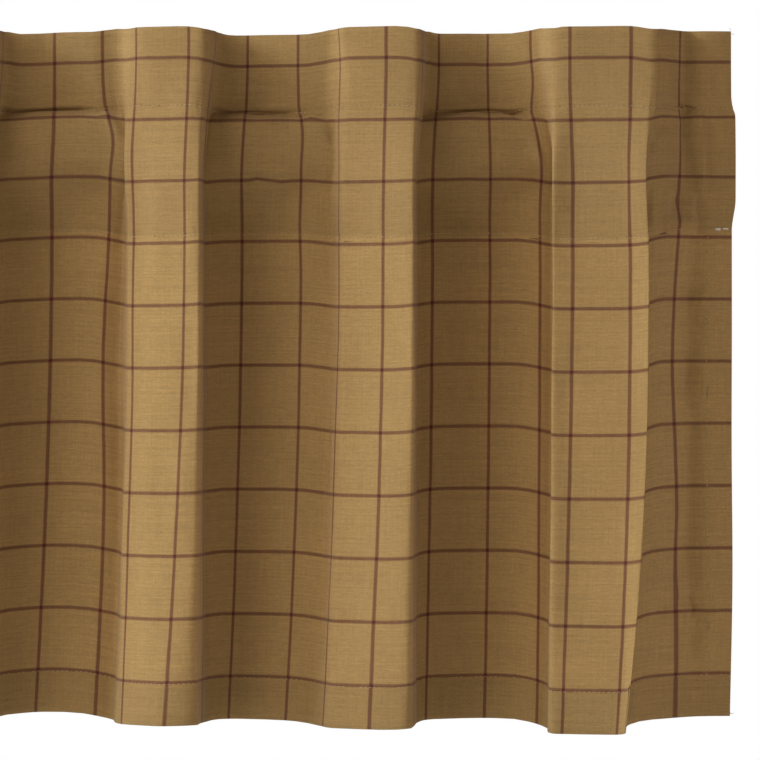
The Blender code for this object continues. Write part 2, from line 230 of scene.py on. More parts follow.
def ramp(value, start, end):
    """0 before start, 1 after end and a smooth rise between."""
    t = np.clip((value - start) / (end - start), 0.0, 1.0)
    return t * t * (3 - 2 * t)


def eased(cloth, column, softness):
    """A column of STATIONS at places along the cloth, its corners rounded over softness checks."""
    total, weights = 0.0, 0.0
    for step in np.linspace(-1.0, 1.0, 15):
        weight = 1.0 - 0.9 * abs(step)
        places = np.clip(cloth + step * softness, CLOTH_LEFT, CLOTH_RIGHT)
        total = total + weight * np.interp(places, STATIONS[:, 0], STATIONS[:, column])
        weights += weight
    return total / weights


def between_folds(cloth):
    """1 on the floors between the folds, 0 on the crowns."""
    across = eased(cloth, 2, SOFT_SKIRT)
    floor = np.ones_like(across)
    for fold in FOLDS:
        inside = ramp(across, fold.out_skirt * MM - SHOULDER, fold.out_skirt * MM + SHOULDER)
        rise = fold.in_skirt * MM + SHOULDER_WIDER
        inside *= 1 - ramp(across, rise - SHOULDER, rise + SHOULDER)
        floor -= inside
    return floor


def rod_face(down):
    """How far in front of the rod's line the rod holds the front layer."""
    front = HEADER + OVER_ROD
    over = HEADING_FLOOR + (ROD_FRONT - HEADING_FLOOR) * ramp(down, HEADER, front)
    recede = ramp(down, front + ROD_ROOM, front + ROD_ROOM + BELOW_ROD)
    under = ROD_FRONT + (FLOOR - ROD_FRONT) * recede
    return np.where(down < HEADER, FLOOR, np.where(down < front, over, under))


# Where the cloth stands a little further right: the place (checks along, millimetres down), how far
# that spreads along (checks) and down (millimetres), and the shift in millimetres.
Sway = namedtuple("Sway", ["cloth", "down", "spread", "height", "shift"])
SWAYS = [
    Sway(-1.0, 4, 0.7, 30, 1.8),
    Sway(1.0, 66, 0.45, 16, 3.6),
    Sway(0.0, 66, 0.6, 24, 1.4),
    Sway(1.8, 74, 0.35, 26, -1.8),
    Sway(1.0, 196, 0.4, 62, -3.4),
    Sway(15.0, 196, 0.35, 62, -3.4),
    Sway(14.3, 84, 0.35, 32, -1.8),
    Sway(14.3, 330, 0.35, 75, 1.9),
    Sway(14.3, 240, 0.35, 55, 1.2),
    Sway(15.0, 86, 0.35, 32, 4.4),
    Sway(4.0, 4, 0.5, 20, 3.0),
    Sway(6.1, 62, 0.5, 14, 1.8),
    Sway(6.1, 118, 0.5, 16, -0.9),
    Sway(7.0, 20, 0.4, 26, 2.0),
    Sway(12.0, 28, 0.4, 12, 1.2),
    Sway(12.0, 48, 0.4, 10, -1.4),
    Sway(12.1, 80, 0.4, 16, 1.2),
    Sway(15.9, 335, 0.6, 60, 1.2),
]


def hang(cloth, down, eased_more=0.0):
    """Points of the front face: cloth in checks along the valance, down in metres of cloth."""
    skirt = ramp(down, SKIRT_STARTS, SKIRT_FORMED)
    hem = np.clip((down - POCKET_END) / (LENGTH - POCKET_END), 0.0, 1.0) ** HEM_LEAN
    softness = SOFT_HEADING + (SOFT_SKIRT - SOFT_HEADING) * skirt + (SOFT_HEM - SOFT_SKIRT) * hem
    falls = sum(np.exp(-((cloth - (fold.brow_out + fold.foot_out) / 2) / FALL_REACH) ** 2)
                for fold in FOLDS)
    at_lip = np.exp(-((cloth - LIP) / LIP_REACH) ** 2)
    at_rise = np.exp(-((cloth - LAST_RISE) / RISE_REACH) ** 2)
    softness = softness * (1 - FALL_SHARPER * falls * (1 - skirt))
    softness = softness * (1 - LIP_SHARPER * at_lip * skirt)
    softness = softness * (1 - RISE_SHARPER * at_rise * skirt * (1 - hem))
    softness = softness + eased_more
    heading_x, skirt_x, hem_x = (eased(cloth, column, softness) for column in (1, 2, 3))
    upper_x = heading_x + (skirt_x - heading_x) * skirt
    flare = ramp(down, HEADER - FLARE_ABOVE, HEADER + OVER_ROD)
    flare = flare * (1 - ramp(down, FLARE_HOLDS * POCKET_END, POCKET_END))
    at_end = ramp(cloth, CLOTH_RIGHT - FLARE_REACH, CLOTH_RIGHT)
    at_end = at_end - ramp(cloth, CLOTH_LEFT + FLARE_REACH, CLOTH_LEFT)
    x = MIDDLE - (upper_x + (hem_x - upper_x) * hem) + POCKET_FLARE * flare * at_end

    depth = eased(cloth, 4, softness)
    in_header = HEADING_FLOOR + (depth - FLOOR) * HEADING_DEPTH
    depth = in_header + (depth - in_header) * skirt
    rod = rod_face(down)
    depth = (depth + rod + np.hypot(depth - rod, ROD_TOUCH)) / 2

    floor = between_folds(cloth)
    lift = -HEADER_DROOP * (1 - ramp(down, HEADER - 2 * MM, HEADER + OVER_ROD))
    lift = lift + SKIRT_LIFT * ramp(down, HEADER + OVER_ROD, POCKET_END)
    step = 1 - LIP_STEP * at_lip
    drop = eased(cloth, 5, SOFT_DROP * step) * down / LENGTH - eased(cloth, 6, SOFT_RAISE * step)
    for sway in SWAYS:
        near = ((cloth - sway.cloth) / sway.spread) ** 2 + ((down / MM - sway.down) / sway.height) ** 2
        x = x + sway.shift * MM * np.exp(-near)
    return np.stack([x, -depth, -down + lift * floor - drop], axis=-1)


def back_of_pocket(cloth, down):
    """Points on the pocket's back layer, which passes behind the rod: its face towards the rod."""
    top = HEADER + OVER_ROD
    share = ramp(down, HEADER, top) * (1 - ramp(down, top + ROD_ROOM / 2, POCKET_END))
    point = hang(cloth, down, BACK_SOFTER * share)
    past_rod = -ROD_BACK - LAYER + BACK_SWING * between_folds(cloth)
    point[..., 1] += (np.maximum(past_rod, point[..., 1]) - point[..., 1]) * share
    return point


def facing(surface, cloth, down):
    """A surface's points, its way along the cloth and the way it faces there."""
    step_cloth, step_down = 0.02, 0.5 * MM
    right = np.clip(cloth + step_cloth, CLOTH_LEFT, CLOTH_RIGHT)
    left = np.clip(cloth - step_cloth, CLOTH_LEFT, CLOTH_RIGHT)
    along = surface(right, down) - surface(left, down)
    along /= np.linalg.norm(along, axis=-1, keepdims=True)
    upward = surface(cloth, down - step_down) - surface(cloth, down + step_down)
    normal = np.cross(along, upward)
    normal /= np.linalg.norm(normal, axis=-1, keepdims=True)
    return surface(cloth, down), along, normal


# The creases: each is a soft ridge or trough with its middle at a place on the cloth (checks along,
# millimetres down), its slant clockwise from upright in degrees, and its length, width, height and
# bow in millimetres.
Crease = namedtuple("Crease", ["cloth", "down", "slant", "length", "width", "height", "bow"])
CREASES = [
    Crease(-0.10, 42.6, 90, 66, 5.0, 2.2, -4),
    Crease(-0.10, 46.2, 90, 66, 2.2, -2.2, -4),
    Crease(-0.10, 49.4, 90, 66, 3.6, 1.1, -4),
    Crease(5.15, 42.6, 90, 70, 5.0, 2.2, -4),
    Crease(5.15, 46.2, 90, 70, 2.2, -2.2, -4),
    Crease(5.15, 49.4, 90, 70, 3.6, 1.1, -4),
    Crease(10.93, 42.6, 90, 76, 5.0, 2.3, 3),
    Crease(10.93, 46.2, 90, 76, 2.2, -2.5, 3),
    Crease(10.93, 49.6, 90, 76, 3.6, 1.2, 3),
    Crease(0.95, 52, -35, 30, 7.0, 1.6, 0),
    Crease(6.30, 54, -35, 34, 7.0, 1.8, 0),
    Crease(6.05, 60, -35, 28, 6.0, -1.2, 0),
    Crease(11.66, 50, -64, 26, 3.0, -3.4, 2),
    Crease(11.80, 66, -16, 36, 2.6, -2.3, -1),
    Crease(11.91, 66, -16, 36, 4.0, 1.5, -1),
    Crease(5.40, 86, 50, 30, 5.0, -2.2, 2),
    Crease(5.56, 92, 50, 34, 5.0, 2.0, 2),
    Crease(5.05, 104, 40, 30, 6.0, 1.0, 1),
    Crease(10.16, 72, -14, 36, 5.0, -2.0, 1),
    Crease(10.32, 72, -14, 34, 5.0, 1.4, 1),
    Crease(10.45, 106, -30, 30, 5.0, -1.6, 2),
    Crease(6.48, 134, -24, 34, 6.0, -1.4, 2),
    Crease(6.30, 140, -24, 34, 6.0, 0.9, 2),
    Crease(11.40, 150, 10, 70, 9.0, 0.8, 3),
    Crease(0.80, 150, -8, 80, 9.0, 0.8, 3),
    Crease(14.74, 20, 0, 76, 8.0, 1.1, 0),
    Crease(15.12, 20, 3, 76, 13.0, -5.4, 1),
    Crease(15.30, 76, -3, 66, 6.5, 4.2, 1),
    Crease(15.04, 80, 3, 78, 9.0, -5.2, 1),
    Crease(14.52, 26, 0, 62, 4.0, -0.4, 0),
    Crease(14.62, 62, 24, 26, 3.5, -2.8, 1),
    Crease(14.74, 98, -36, 30, 4.5, 2.2, 1),
    Crease(14.88, 102, -36, 30, 4.5, -2.0, 1),
    Crease(14.47, 108, 8, 30, 4.0, -1.7, 0),
    Crease(14.64, 106, 6, 36, 4.5, 3.0, 0),
    Crease(14.82, 106, 8, 38, 4.5, -3.8, 0),
    Crease(15.18, 112, -6, 26, 4.0, 2.0, 1),
    Crease(15.30, 112, -8, 26, 3.5, -2.0, 1),
    Crease(15.42, 161, 25, 22, 4.5, 1.8, 1),
    Crease(15.40, 178, -20, 26, 4.5, -1.7, 1),
    Crease(15.44, 214, -20, 26, 4.5, 1.7, 1),
    Crease(15.42, 232, 22, 24, 4.0, -1.7, 1),
    Crease(15.22, 344, -24, 46, 4.0, 2.0, 2),
    Crease(15.34, 350, -24, 44, 3.5, -2.2, 2),
    Crease(15.48, 352, 12, 40, 4.0, 1.6, 1),
    Crease(15.70, 343, 82, 15, 3.5, 1.0, 1),
    Crease(15.70, 353, 82, 15, 3.0, -1.0, 1),
    Crease(15.72, 364, 98, 14, 3.5, 1.0, 1),
    Crease(15.70, 250, 80, 14, 4.0, 0.8, 1),
    Crease(14.95, 330, 6, 90, 10.0, -1.6, 3),
    Crease(15.22, 262, 0, 300, 8.0, -2.4, 0),
    Crease(15.43, 262, 0, 300, 5.0, 1.9, 0),
]
CREASES += [
    crease._replace(cloth=crease.cloth + row.cloth_shift, height=crease.height * row.depth)
    for crease in CREASES for row in LEFT_FOLDS
    if (crease.cloth < 4.3 and row.like == 0) or (4.3 < crease.cloth < 10 and row.like == 1)
]
PUCKER = 0.22 * MM            # height of the small puckers that the sewing draws in beside a seam
PUCKER_REACH = 7 * MM         # how far they run from the seam
GROOVE = 0.35 * MM            # how deep a row of stitches pulls the cloth in
GROOVE_WIDTH = 1.1 * MM
UNEVEN = 0.28 * MM            # height of the slow unevenness all over


def creased(cloth, down):
    """How far the creases lift the cloth off its folds."""
    height = np.zeros(np.broadcast(cloth, down).shape)
    for crease in CREASES:
        slant = math.radians(crease.slant)
        right = (cloth - crease.cloth) * CHECK / MM
        below = down / MM - crease.down
        run = (below * math.cos(slant) - right * math.sin(slant)) / (crease.length / 2)
        off = right * math.cos(slant) + below * math.sin(slant) - crease.bow * run ** 4
        reach = np.clip(1 - run ** 4, 0, 1) ** 1.5
        height += crease.height * MM * reach * np.exp(-(off / (crease.width / 2)) ** 2)
    to_side = np.minimum(cloth - CLOTH_LEFT, CLOTH_RIGHT - cloth) * CHECK - SIDE_HEM
    seams = [(down - HEADER, cloth, 1.0), (down - POCKET_END, cloth, 1.0),
             (down - (LENGTH - HEM), cloth, 0.8), (to_side, down / CHECK, 1.6)]
    for off, run, strength in seams:    # waves of unrelated lengths, so that no two puckers repeat
        ripple = np.sin(run * 23.0 + 2.1 * np.sin(run * 5.3)) * np.sin(run * 7.9 + 1.0)
        height += PUCKER * strength * ripple * np.exp(-(off / PUCKER_REACH) ** 2)
        height -= GROOVE * np.exp(-(off / GROOVE_WIDTH) ** 2)
    slow = np.sin(cloth * 4.1 + 1.7 * np.sin(down * 21.0)) + np.sin(cloth * 9.7 - down * 34.0)
    slow = slow + np.sin(cloth * 6.3 + down * 55.0 + 2.0 * np.sin(cloth * 1.9))
    return height + UNEVEN * slow / 1.5


def turned(run, radius):
    """Cloth turned over an edge: how far past the edge it lies, and how far behind the face."""
    angle = np.clip(run / radius, 0, math.pi)
    past = np.where(run < math.pi * radius, radius * np.sin(angle), math.pi * radius - run)
    return np.where(run < 0, run, past), radius * (1 - np.cos(angle))


def sheet_points(along, down):
    """The cut cloth's points, sides and top and foot turned over: along in checks, down in metres."""
    side = np.maximum(along - CLOTH_RIGHT, CLOTH_LEFT - along) * CHECK
    side_past, side_back = turned(side, LAYER / 2)
    middle = (CLOTH_LEFT + CLOTH_RIGHT) / 2
    way_out = np.sign(along - middle)
    cloth = np.where(way_out > 0, CLOTH_RIGHT, CLOTH_LEFT) + way_out * side_past / CHECK
    turn_end = SIDE_HEM + LAYER
    side_back = side_back * (1 - PRESSED * ramp(side, turn_end - PRESSED_EDGE, turn_end))

    over_top = down < LENGTH / 2
    end = np.where(over_top, -down, down - LENGTH)
    end_past, end_back = turned(end, LAYER / 2)
    level = np.where(over_top, -end_past, LENGTH + end_past)
    turn_end = np.where(over_top, POCKET_END, HEM) + LAYER + BEYOND_SEAM
    end_back = end_back * (1 - PRESSED * ramp(end, turn_end - PRESSED_EDGE, turn_end))

    inside = np.clip(cloth, CLOTH_LEFT, CLOTH_RIGHT)
    height = np.clip(level, 0, LENGTH)
    turned_over = end_back / LAYER
    at_side = 1 - ramp(-side_past, SIDE_HEM - 1 * MM, SIDE_HEM + 3 * MM)
    back = side_back * (1 - 2 * turned_over) + end_back * (1 + 2 * at_side)
    point, ahead, normal = facing(hang, inside, height)
    rod_side, _, rod_normal = facing(back_of_pocket, inside, height)
    in_tunnel = ((over_top) & (end > 0) & (height > HEADER - LAYER))[..., None]
    point = np.where(in_tunnel, rod_side, point)
    normal = np.where(in_tunnel, rod_normal, normal)
    back = back - creased(inside, height) * np.where(in_tunnel[..., 0], 0.3, 1.0)
    point = point - normal * back[..., None]
    point = point + ahead * (np.maximum(side_past, 0) * way_out)[..., None]
    upright = np.array([0.0, 0.0, 1.0])
    return point + upright * (np.maximum(end_past, 0) * np.where(over_top, 1, -1))[..., None]


def stretches(*table):
    """Places from a table of stretches: each row has its start, end and greatest step."""
    places = [table[0][0]]
    for start, end, step in table:
        count = max(1, math.ceil(abs(end - start) / step))
        places += list(np.linspace(start, end, count + 1)[1:])
    return np.array(places)


fold_over = math.pi * LAYER / 2
rows_down = stretches(
    (-(POCKET_END + LAYER + BEYOND_SEAM), -(POCKET_END - 4 * MM), 1.5 * MM),
    (-(POCKET_END - 4 * MM), -(HEADER + OVER_ROD), 6 * MM),
    (-(HEADER + OVER_ROD), -(HEADER - 5 * MM), 2.4 * MM),
    (-(HEADER - 5 * MM), -fold_over, 7 * MM),
    (-fold_over, 0.0, fold_over / 3),
    (0.0, HEADER - 8 * MM, 4.2 * MM),
    (HEADER - 8 * MM, HEADER - 4 * MM, 1.4 * MM),
    (HEADER - 4 * MM, HEADER + 3 * MM, 0.75 * MM),
    (HEADER + 3 * MM, HEADER + OVER_ROD, 1.6 * MM),
    (HEADER + OVER_ROD, POCKET_END - 4 * MM, 3.4 * MM),
    (POCKET_END - 4 * MM, POCKET_END + 4 * MM, 2.0 * MM),
    (POCKET_END + 4 * MM, LENGTH - HEM - 4 * MM, 5.6 * MM),
    (LENGTH - HEM - 4 * MM, LENGTH, 3.5 * MM),
    (LENGTH, LENGTH + fold_over, fold_over / 3),
    (LENGTH + fold_over, LENGTH + HEM, 6 * MM),
    (LENGTH + HEM, LENGTH + HEM + LAYER + BEYOND_SEAM, 1.5 * MM),
)

# Columns stand close together where the folds turn, and closer at the right than at the left.
COLUMNS = 640
PACE = 0.35                   # weight of even spacing at the left
PACE_RIGHT = 0.25             # how much more it weighs at the right
PACE_BENDS = 0.022            # weight of the folds' turns
fine = np.linspace(CLOTH_LEFT, CLOTH_RIGHT, 12001)
bends = 0.0
for level in (HEADER / 2, (POCKET_END + LENGTH) / 2, LENGTH):
    path = hang(fine, np.full_like(fine, level))
    heading = np.unwrap(np.arctan2(np.gradient(path[:, 1]), np.gradient(path[:, 0])))
    bends = np.maximum(bends, np.abs(np.gradient(heading)))
pace = np.gradient(fine) * (PACE + PACE_RIGHT * ramp(fine, -4, -1))
pace = pace + PACE_BENDS * bends / bends.mean()
run = np.cumsum(pace)
main_columns = np.interp(np.linspace(run[0], run[-1], COLUMNS), run, fine)
side_run = stretches((0.0, fold_over, fold_over / 3), (fold_over, SIDE_HEM - 1 * MM, 5 * MM),
                     (SIDE_HEM - 1 * MM, SIDE_HEM + LAYER, LAYER))[1:] / CHECK
columns_along = np.concatenate([CLOTH_LEFT - side_run[::-1], main_columns, CLOTH_RIGHT + side_run])

# The check's rows, counted down the cloth from the first red row, which lies just under the top edge.
FIRST_ROW = 17.8 * MM
ROW_PITCH = 36.0 * MM         # near the top
ROW_STRETCH = 0.35 * MM       # how much further apart the rows are at the foot

cloth_bm = bmesh.new()
bmesh.ops.create_grid(cloth_bm, x_segments=len(columns_along) - 1, y_segments=len(rows_down) - 1,
                      size=0.5)
cloth_mesh = bpy.data.meshes.new("valance_cloth")
cloth_bm.to_mesh(cloth_mesh)
cloth_bm.free()
flat = np.empty(len(cloth_mesh.vertices) * 3)
cloth_mesh.vertices.foreach_get("co", flat)
flat = flat.reshape(-1, 3)
column = np.rint((flat[:, 0] + 0.5) * (len(columns_along) - 1)).astype(int)
row = np.rint((0.5 - flat[:, 1]) * (len(rows_down) - 1)).astype(int)
placed = sheet_points(columns_along[None, :], rows_down[:, None])
cloth_mesh.vertices.foreach_set("co", placed[row, column].ravel())
rows_counted = (rows_down - FIRST_ROW) / (ROW_PITCH + ROW_STRETCH * rows_down / LENGTH)
corner_vertex = np.empty(len(cloth_mesh.loops), dtype=int)
cloth_mesh.loops.foreach_get("vertex_index", corner_vertex)
POCKET_ROW, HEM_ROW = np.interp([POCKET_END, LENGTH - HEM], rows_down, rows_counted).tolist()
uv = np.stack([columns_along[column], -rows_counted[row]], axis=-1)[corner_vertex]
cloth_mesh.uv_layers.new(name="checks").data.foreach_set("uv", uv.ravel())
cloth_mesh.update()
cloth_mesh.shade_smooth()
cloth = bpy.data.objects.new("valance_cloth", cloth_mesh)
bpy.context.scene.collection.objects.link(cloth)


class Wired:
    """An output in a material's nodes, on which sums are written as they stand."""

    def __init__(self, tree, output=None):
        self.tree = tree
        self.output = output

    def node(self, kind, settings, sockets, output=0):
        made = self.tree.nodes.new(kind)
        for name, value in settings.items():
            setattr(made, name, value)
        for key, value in sockets.items():
            if isinstance(value, Wired):
                self.tree.links.new(value.output, made.inputs[key])
            else:
                made.inputs[key].default_value = value
        return Wired(self.tree, made.outputs[output])

    def sum(self, operation, *values):
        return self.node("ShaderNodeMath", {"operation": operation}, dict(enumerate(values)))

    def __add__(self, other):
        return self.sum("ADD", self, other)

    def __radd__(self, other):
        return self.sum("ADD", other, self)

    def __sub__(self, other):
        return self.sum("SUBTRACT", self, other)

    def __rsub__(self, other):
        return self.sum("SUBTRACT", other, self)

    def __mul__(self, other):
        return self.sum("MULTIPLY", self, other)

    def __rmul__(self, other):
        return self.sum("MULTIPLY", other, self)

    def between(self, start, end):
        """A smooth rise from 0 at start to 1 at end."""
        return self.node("ShaderNodeMapRange", {"interpolation_type": "SMOOTHSTEP"},
                         {"Value": self, "From Min": start, "From Max": end})

    def noise(self, across, down, detail=1.0):
        """Noise from 0 to 1, with about that many specks in a check across and down."""
        parts = self.node("ShaderNodeSeparateXYZ", {}, {0: self})
        down_part = self.node("ShaderNodeSeparateXYZ", {}, {0: self}, 1)
        place = self.node("ShaderNodeCombineXYZ", {}, {0: parts * across, 1: down_part * down})
        return self.node("ShaderNodeTexNoise", {"noise_dimensions": "2D"},
                         {"Vector": place, "Scale": 1.0, "Detail": detail})

    def mix(self, first, second):
        """The first colour where this is 0 and the second where it is 1."""
        return self.node("ShaderNodeMix", {"data_type": "RGBA", "clamp_factor": True},
                         {0: self, 6: first, 7: second}, 2)

    def tinted(self, colour):
        """This colour multiplied by another."""
        return self.node("ShaderNodeMix", {"data_type": "RGBA", "blend_type": "MULTIPLY"},
                         {0: 1.0, 6: self, 7: colour}, 2)


THREADS = 80                  # threads in a check, across and down
RED_THREADS = 4               # of them dyed red
GOLDEN_WARP = (0.475, 0.305, 0.122, 1.0)
GOLDEN_WEFT = (0.435, 0.272, 0.102, 1.0)
RED_WARP = (0.130, 0.024, 0.026, 1.0)
RED_WEFT = (0.120, 0.022, 0.022, 1.0)
# Painted shade: the colour is made darker where the cloth lies doubled, above the lower pocket seam and
# in the hem, standing in for the light that shines through one layer but less through two.
DOUBLED_PAINTED_SHADE = 0.86                # how dark the turned layers are, where less light shines through
SEAM_SHADE = 0.06             # half the width over which that darkness ends, in checks
WANDER = 0.012                # how far the check's lines wander, in checks

cotton = bpy.data.materials.new("checked_cotton")
cotton.use_nodes = True
shader = cotton.node_tree.nodes["Principled BSDF"]
shader.inputs["Roughness"].default_value = 0.92
shader.inputs["Specular IOR Level"].default_value = 0.25
shader.inputs["Sheen Weight"].default_value = 0.12
shader.inputs["Sheen Roughness"].default_value = 0.6

wired = Wired(cotton.node_tree)
checks = wired.node("ShaderNodeUVMap", {"uv_map": "checks"}, {})
counted_across = checks.node("ShaderNodeSeparateXYZ", {}, {0: checks})
counted_down = checks.node("ShaderNodeSeparateXYZ", {}, {0: checks}, 1)
wander_across = (checks.noise(0.3, 1.3) - 0.5) * WANDER
wander_down = (checks.noise(1.3, 0.3) - 0.5) * WANDER
half_line = RED_THREADS / THREADS / 2
line_outer, line_inner = half_line * 1.6, half_line * 0.66   # where a line's edge starts and ends


def red_line(counted):
    """1 on the red threads, which lie at the whole numbers, and 0 between them."""
    off = counted - wired.sum("ROUND", counted)
    return wired.sum("ABSOLUTE", off).between(line_outer, line_inner)


across_line = red_line(counted_across + wander_across)
down_line = red_line(counted_down + wander_down)
warp_wave = wired.sum("SINE", counted_across * (math.pi * THREADS))
weft_wave = wired.sum("SINE", counted_down * (math.pi * THREADS))
over = warp_wave * weft_wave
over_mask = 0.5 + over * 0.9 + (across_line - down_line) * 0.28
slub_weft = checks.noise(5.0, 36.0, 1.0)
long_weft = checks.noise(0.5, 33.0, 1.0)
short_weft = checks.noise(21.0, 42.0, 1.0)
slub_warp = checks.noise(44.0, 1.4, 1.0)
patches = checks.noise(0.9, 0.8, 3.0)
tone_and_painted_shade = 1.0 + (slub_weft - 0.5) * 0.26 + (long_weft - 0.5) * 0.26 + (short_weft - 0.5) * 0.30
tone_and_painted_shade = tone_and_painted_shade + (slub_warp - 0.5) * 0.20 + (patches - 0.5) * 0.12
# Painted shade: above the lower pocket seam and in the hem, where the cloth is doubled, the colour is
# darkened for the light that shines through less there. The rest of this tone is the yarn's own slubs
# and patches.
above_pocket_end = counted_down.between(SEAM_SHADE - POCKET_ROW, -SEAM_SHADE - POCKET_ROW)
below_hem = counted_down.between(SEAM_SHADE - HEM_ROW, -SEAM_SHADE - HEM_ROW)
tone_and_painted_shade = tone_and_painted_shade * (DOUBLED_PAINTED_SHADE + (above_pocket_end - below_hem) * (1 - DOUBLED_PAINTED_SHADE))
warp = across_line.mix(GOLDEN_WARP, RED_WARP)
weft = down_line.mix(GOLDEN_WEFT, RED_WEFT)
woven = over_mask.mix(weft, warp)
tone_and_painted_shade_colour = tone_and_painted_shade.node("ShaderNodeCombineColor", {}, {0: tone_and_painted_shade, 1: tone_and_painted_shade, 2: tone_and_painted_shade})
cotton.node_tree.links.new(woven.tinted(tone_and_painted_shade_colour).output, shader.inputs["Base Color"])
thread_height = wired.sum("ABSOLUTE", over) * 0.4 + slub_weft * 0.9 + slub_warp * 0.4
bump = wired.node("ShaderNodeBump", {}, {"Strength": 0.5, "Distance": 0.12 * MM,
                                         "Height": thread_height})
cotton.node_tree.links.new(bump.output, shader.inputs["Normal"])
cloth_mesh.materials.append(cotton)

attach(cloth, "root")
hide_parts("valance")

# ---------------------------------------------------------------------------------------------------
# The sewing
#
# Every turning is held by one row of lockstitch in thread a little lighter than the cloth, which
# shows on both faces: under the header, under the rod pocket, over the hem and down each side.
# The seam under the pocket ends at both sides in two short bars of close white stitches.

STITCH = 2.2 * MM             # length of a stitch
STITCH_GAP = 0.7 * MM         # between one stitch and the next
THREAD = 0.42 * MM            # thickness of the thread
PROUD_ALONG = 0.35            # how far it stands off the cloth along it, in thicknesses
PROUD_DOWN = 0.15             # and down the sides, where it is drawn in more


def stitched(sewing_bm, along, down, sideways, behind):
    """Stitches at places on the cloth, laid along it, or down it when sideways is False.

    They lie on the front face, or on the back when behind gives how far back that is.
    """
    point, ahead, normal = facing(hang, along, down)
    height = creased(along, down)
    proud = THREAD * (PROUD_ALONG if sideways else PROUD_DOWN)
    height = height - behind - proud if behind else height + proud
    lifted = point + normal * height[:, None]
    for place, way, face in zip(lifted, ahead, normal):
        face = Vector(face)
        way = Vector(way) if sideways else Vector(way).cross(face)
        turn = Matrix((way, face.cross(way), face)).transposed().to_4x4()
        size = Matrix.Diagonal((STITCH / 2, THREAD / 2, THREAD / 2, 1))
        bmesh.ops.create_icosphere(sewing_bm, subdivisions=1, radius=1.0,
                                   matrix=Matrix.Translation(place) @ turn @ size)


def sewing_piece(name, sewing_bm, material):
    """The stitches as one piece that goes with the cloth."""
    mesh = bpy.data.meshes.new(name)
    sewing_bm.to_mesh(mesh)
    sewing_bm.free()
    mesh.shade_smooth()
    mesh.materials.append(material)
    piece = bpy.data.objects.new(name, mesh)
    bpy.context.scene.collection.objects.link(piece)
    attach(piece, "root")
    return piece


def sewing_thread(name, colour):
    """Spun cotton thread, twisted, with a low shine, and painted shading: its colour is darker in the
    twist's grooves.
    """
    material = bpy.data.materials.new(name)
    material.use_nodes = True
    thread = material.node_tree.nodes["Principled BSDF"]
    thread.inputs["Roughness"].default_value = 0.7
    thread.inputs["Sheen Weight"].default_value = 0.2
    wires = Wired(material.node_tree)
    place = wires.node("ShaderNodeTexCoord", {}, {}, 3)
    twist = wires.node("ShaderNodeTexNoise", {}, {"Vector": place, "Scale": 2600.0, "Detail": 1.0})
    twist_ridge = twist.between(0.3, 0.7)
    # Painted shade: the colour is 0.78 as bright where the twist's bump lies low, in its grooves.
    groove_painted_shade_colour = tuple(part * 0.78 for part in colour[:3]) + (1.0,)
    material.node_tree.links.new(twist_ridge.mix(groove_painted_shade_colour, colour).output, thread.inputs["Base Color"])
    raised = wires.node("ShaderNodeBump", {}, {"Strength": 0.4, "Distance": 0.08 * MM,
                                               "Height": twist})
    material.node_tree.links.new(raised.output, thread.inputs["Normal"])
    return material


golden_thread = sewing_thread("golden_thread", (0.60, 0.45, 0.24, 1.0))
white_thread = sewing_thread("white_thread", (0.90, 0.87, 0.80, 1.0))

SEAMS = {"header_seam": HEADER, "pocket_seam": POCKET_END, "hem_seam": LENGTH - HEM}
for seam_name, seam_down in SEAMS.items():
    seam_bm = bmesh.new()
    fine_path = hang(fine, np.full_like(fine, seam_down))
    length = np.concatenate([[0], np.cumsum(np.linalg.norm(np.diff(fine_path, axis=0), axis=1))])
    starts = np.arange(STITCH, length[-1] - STITCH, STITCH + STITCH_GAP)
    seam_along = np.interp(starts, length, fine)
    level = np.full_like(seam_along, seam_down)
    stitched(seam_bm, seam_along, level, True, 0.0)
    stitched(seam_bm, seam_along, level, True, LAYER)
    sewing_piece(seam_name, seam_bm, golden_thread)

for side_name, edge, inward in (("left_side_seam", CLOTH_LEFT, 1), ("right_side_seam", CLOTH_RIGHT, -1)):
    seam_bm = bmesh.new()
    downs = np.arange(2 * STITCH, LENGTH - 2 * MM, STITCH + STITCH_GAP)
    level = np.full_like(downs, edge + inward * SIDE_HEM / CHECK)
    stitched(seam_bm, level, downs, False, 0.0)
    stitched(seam_bm, level, downs, False, LAYER)
    sewing_piece(side_name, seam_bm, golden_thread)

# The two close bars where each pocket seam ends: middles of their stitches, in from the side edge
BAR_STEPS = np.concatenate([np.linspace(3.4, 5.2, 5), np.linspace(8.4, 10.2, 5)]) * MM
BAR_ROWS = np.linspace(-1.1, 0.1, 5) * MM   # their rows, down from the seam
bar_bm = bmesh.new()
for edge, inward in ((CLOTH_LEFT, 1), (CLOTH_RIGHT, -1)):
    for step in BAR_STEPS:
        for sunk in BAR_ROWS:
            place = np.array([edge + inward * step / CHECK])
            stitched(bar_bm, place, np.array([POCKET_END + sunk]), True, 0.0)
sewing_piece("bar_tacks", bar_bm, white_thread)

